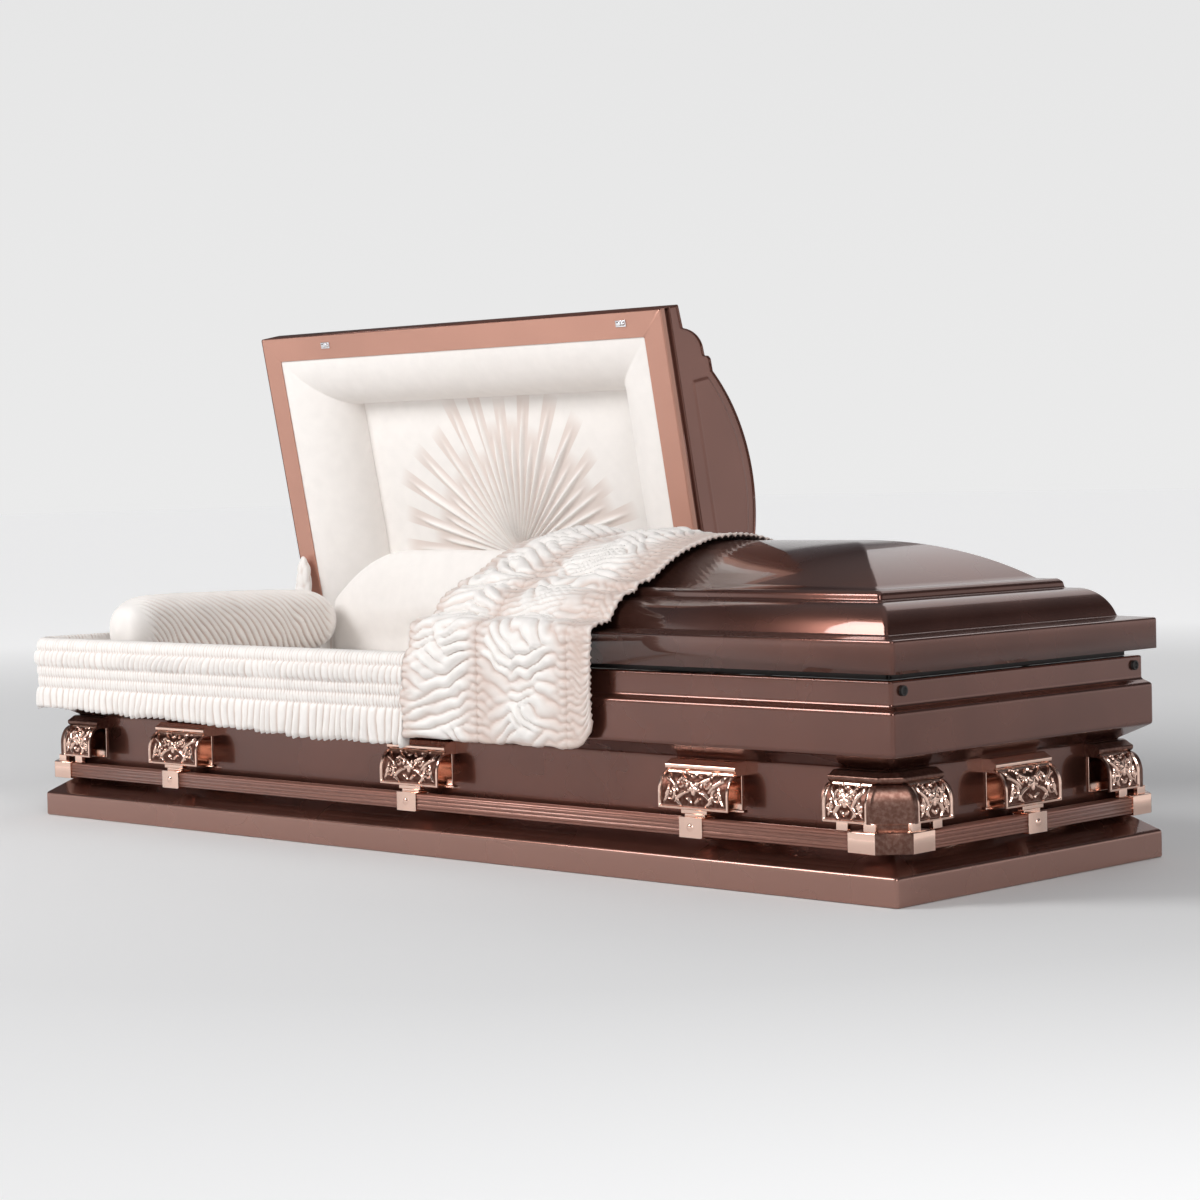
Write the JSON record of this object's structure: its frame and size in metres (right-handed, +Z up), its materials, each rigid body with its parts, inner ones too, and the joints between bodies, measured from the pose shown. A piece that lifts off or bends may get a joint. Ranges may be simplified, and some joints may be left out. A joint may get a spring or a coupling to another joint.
{
  "type": "funeral casket",
  "caption": "Half-couch metal casket with a hinged head lid and foot lid, square-bar handles in cast lugs, and a gathered cloth interior.",
  "frame": {"origin": "centre of the plinth's flat underside", "axes": "+X along the casket towards the foot end, +Z up; the hinges are on the +Y side"},
  "size_m": [2.167, 0.865, 0.9561],
  "materials": {
    "paint": "gloss brown metallic paint",
    "bar_paint": "satin brown paint over reeded steel",
    "plated": "polished rose-gold plating over a cast relief",
    "latch_plate": "polished",
    "plug_rubber": "matte black",
    "hinge_steel": "plain zinc plate",
    "shirred_cloth": "cream crepe, gathered on elastic rows",
    "lining_cloth": "smooth cream crepe over padding"
  },
  "bodies": {
    "casket": {"plinth": "paint", "body_panel": "paint", "body_shell": "paint", "cloth_walls": "lining_cloth", "bed": "lining_cloth", "pillow": "lining_cloth", "apron": "shirred_cloth", "hinge_cover": "lining_cloth", "stay_sleeve": "lining_cloth", "plug_near": "plug_rubber", "plug_far": "plug_rubber", "bracket_head_1": "hinge_steel", "bracket_head_2": "hinge_steel", "bracket_foot_1": "hinge_steel", "bracket_foot_2": "hinge_steel", "lug_near_1": "plated", "lug_near_2": "plated", "lug_near_3": "plated", "lug_far_1": "plated", "lug_far_2": "plated", "lug_far_3": "plated", "lug_head": "plated", "lug_foot": "plated", "corner_foot_near": "plated", "corner_foot_far": "plated", "corner_head_near": "plated", "corner_head_far": "plated", "bar_near": "bar_paint", "bar_far": "bar_paint", "bar_head": "bar_paint", "bar_foot": "bar_paint"},
    "head_lid": {"head_lid_shell": "paint", "head_lid_header": "paint", "head_lid_roll": "lining_cloth", "head_lid_panel": "lining_cloth", "latch_head": "latch_plate", "latch_split": "latch_plate", "gooseneck_head_1": "hinge_steel", "gooseneck_head_2": "hinge_steel"},
    "foot_lid": {"foot_lid_shell": "paint", "foot_lid_header": "paint", "foot_lid_roll": "lining_cloth", "foot_lid_panel": "lining_cloth", "throw": "shirred_cloth", "gooseneck_foot_1": "hinge_steel", "gooseneck_foot_2": "hinge_steel"}
  },
  "joints": [
    {"name": "head_lid_hinge", "type": "hinge", "parent": "casket", "child": "head_lid", "pos_m": [0, 0.305, 0.298], "axis": [-1, 0, 0], "range_deg": [-79, 0], "deforming": ["pillow", "hinge_cover", "stay_sleeve", "throw"]},
    {"name": "foot_lid_hinge", "type": "hinge", "parent": "casket", "child": "foot_lid", "pos_m": [0, 0.305, 0.298], "axis": [-1, 0, 0], "range_deg": [0, 79], "deforming": ["throw"]}
  ]
}
